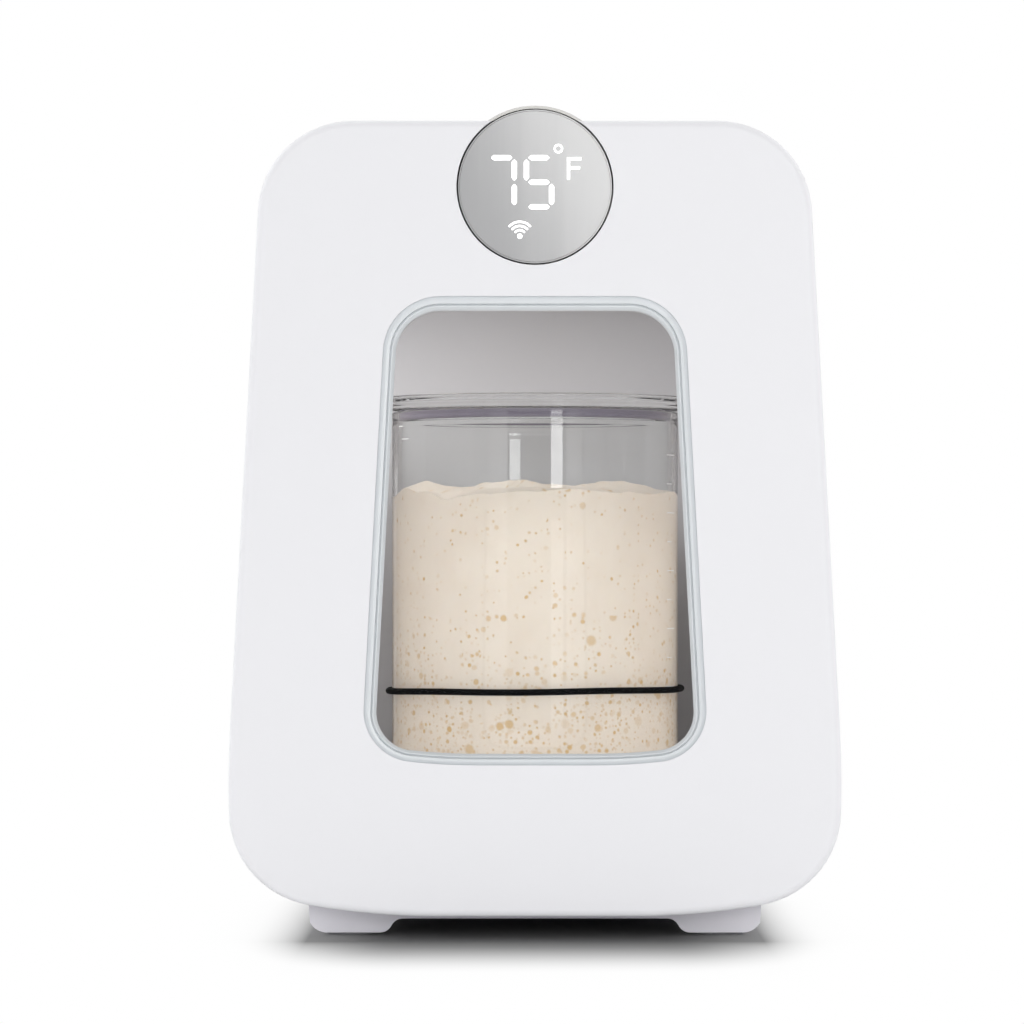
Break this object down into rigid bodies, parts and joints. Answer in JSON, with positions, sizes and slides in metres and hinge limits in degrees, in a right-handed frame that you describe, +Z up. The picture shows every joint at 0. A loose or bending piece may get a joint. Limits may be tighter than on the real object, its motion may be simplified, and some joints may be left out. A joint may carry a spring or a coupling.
{
  "type": "sourdough starter warmer",
  "caption": "Tapered white countertop cabinet with a windowed front door and a round silver display dial, warming a lidded glass jar of sourdough starter.",
  "frame": {"origin": "on the table, under the middle of the cabinet", "axes": "+X to the right seen from the front, +Y towards the back, +Z up; the door faces -Y"},
  "size_m": [0.21, 0.232, 0.2863],
  "materials": {
    "white_plastic": "satin",
    "liner_plastic": "satin",
    "trim_plastic": "satin",
    "foot_plastic": "satin",
    "black_plastic": "matte",
    "dial_metal": "brushed",
    "display_light": "lit",
    "window_glass": "clear",
    "jar_glass": "clear",
    "starter_dough": "matte, bubbly",
    "dark_rubber": "matte",
    "grey_rubber": "matte",
    "clear_seal": "satin",
    "foam": "foam",
    "bare_aluminium": "extruded",
    "plate_coating": "powder coat",
    "bare_steel": "plain",
    "screw_steel": "plated",
    "board_green": "solder mask",
    "module_ceramic": "matte"
  },
  "bodies": {
    "cabinet": {"cabinet_shell": "white_plastic", "front_frame": "white_plastic", "front_frame_screws": "screw_steel", "strike_plates": "bare_steel", "liner": "liner_plastic", "chamber_plate": "plate_coating", "temperature_sensor": "trim_plastic", "jar_mat": "dark_rubber", "insulation_left": "foam", "insulation_right": "foam", "insulation_rear": "foam", "spacer_block": "bare_aluminium", "thermoelectric_module": "module_ceramic", "heat_sink": "bare_aluminium", "sink_screws": "screw_steel", "fan_frame": "black_plastic", "fan_screws": "screw_steel", "rear_cover": "white_plastic", "rear_cover_screws": "screw_steel", "inlet_socket": "black_plastic", "main_board": "board_green", "board_parts": "black_plastic", "board_screws": "screw_steel", "base": "foot_plastic", "foot_pads": "grey_rubber", "base_screws": "screw_steel", "hinge_arms": "bare_steel", "hinge_screws": "screw_steel", "dial_barrel": "white_plastic", "press_switch": "black_plastic", "encoder_reader": "black_plastic", "control_board": "board_green", "dial_cable": "grey_rubber"},
    "door": {"door_shell": "white_plastic", "door_panel": "white_plastic", "door_screws": "screw_steel", "door_foam": "foam", "door_seal": "grey_rubber", "door_magnets": "bare_steel", "hinge_blocks": "foot_plastic", "hinge_pins": "bare_steel", "window_trim": "trim_plastic", "outer_pane": "window_glass", "inner_pane": "window_glass", "window_spacer": "trim_plastic"},
    "dial_head": {"dial_carrier": "black_plastic", "display_lens": "dial_metal", "display_segments": "display_light", "display_board": "board_green", "switch_plunger": "trim_plastic"},
    "dial_turner": {"dial_ring": "dial_metal", "code_ring": "bare_steel"},
    "rotor": {"fan_rotor": "black_plastic"},
    "jar": {"jar_body": "jar_glass", "starter": "starter_dough", "marker_band": "dark_rubber"},
    "lid": {"jar_lid": "jar_glass", "lid_gasket": "clear_seal"}
  },
  "joints": [
    {"name": "door_hinge", "type": "hinge", "parent": "cabinet", "child": "door", "pos_m": [0.092, -0.105, 0.11], "axis": [0, 0, 1], "range_deg": [0, 100]},
    {"name": "dial_press", "type": "slide", "parent": "cabinet", "child": "dial_head", "axis": [0, 1, 0], "range_m": [0, 0.001], "stiffness_N_per_m": 2500, "springref_m": -0.001},
    {"name": "dial_turn", "type": "hinge", "parent": "dial_head", "child": "dial_turner", "pos_m": [0, -0.116, 0.2584], "axis": [0, 1, 0], "continuous": true},
    {"name": "fan_spin", "type": "hinge", "parent": "cabinet", "child": "rotor", "pos_m": [0, 0.1, 0.12], "axis": [0, 1, 0], "continuous": true},
    {"name": "jar_lift", "type": "slide", "parent": "cabinet", "child": "jar", "axis": [0, 0, 1], "range_m": [0, 0.01]},
    {"name": "lid_lift", "type": "slide", "parent": "jar", "child": "lid", "axis": [0, 0, 1], "range_m": [0, 0.024]}
  ]
}
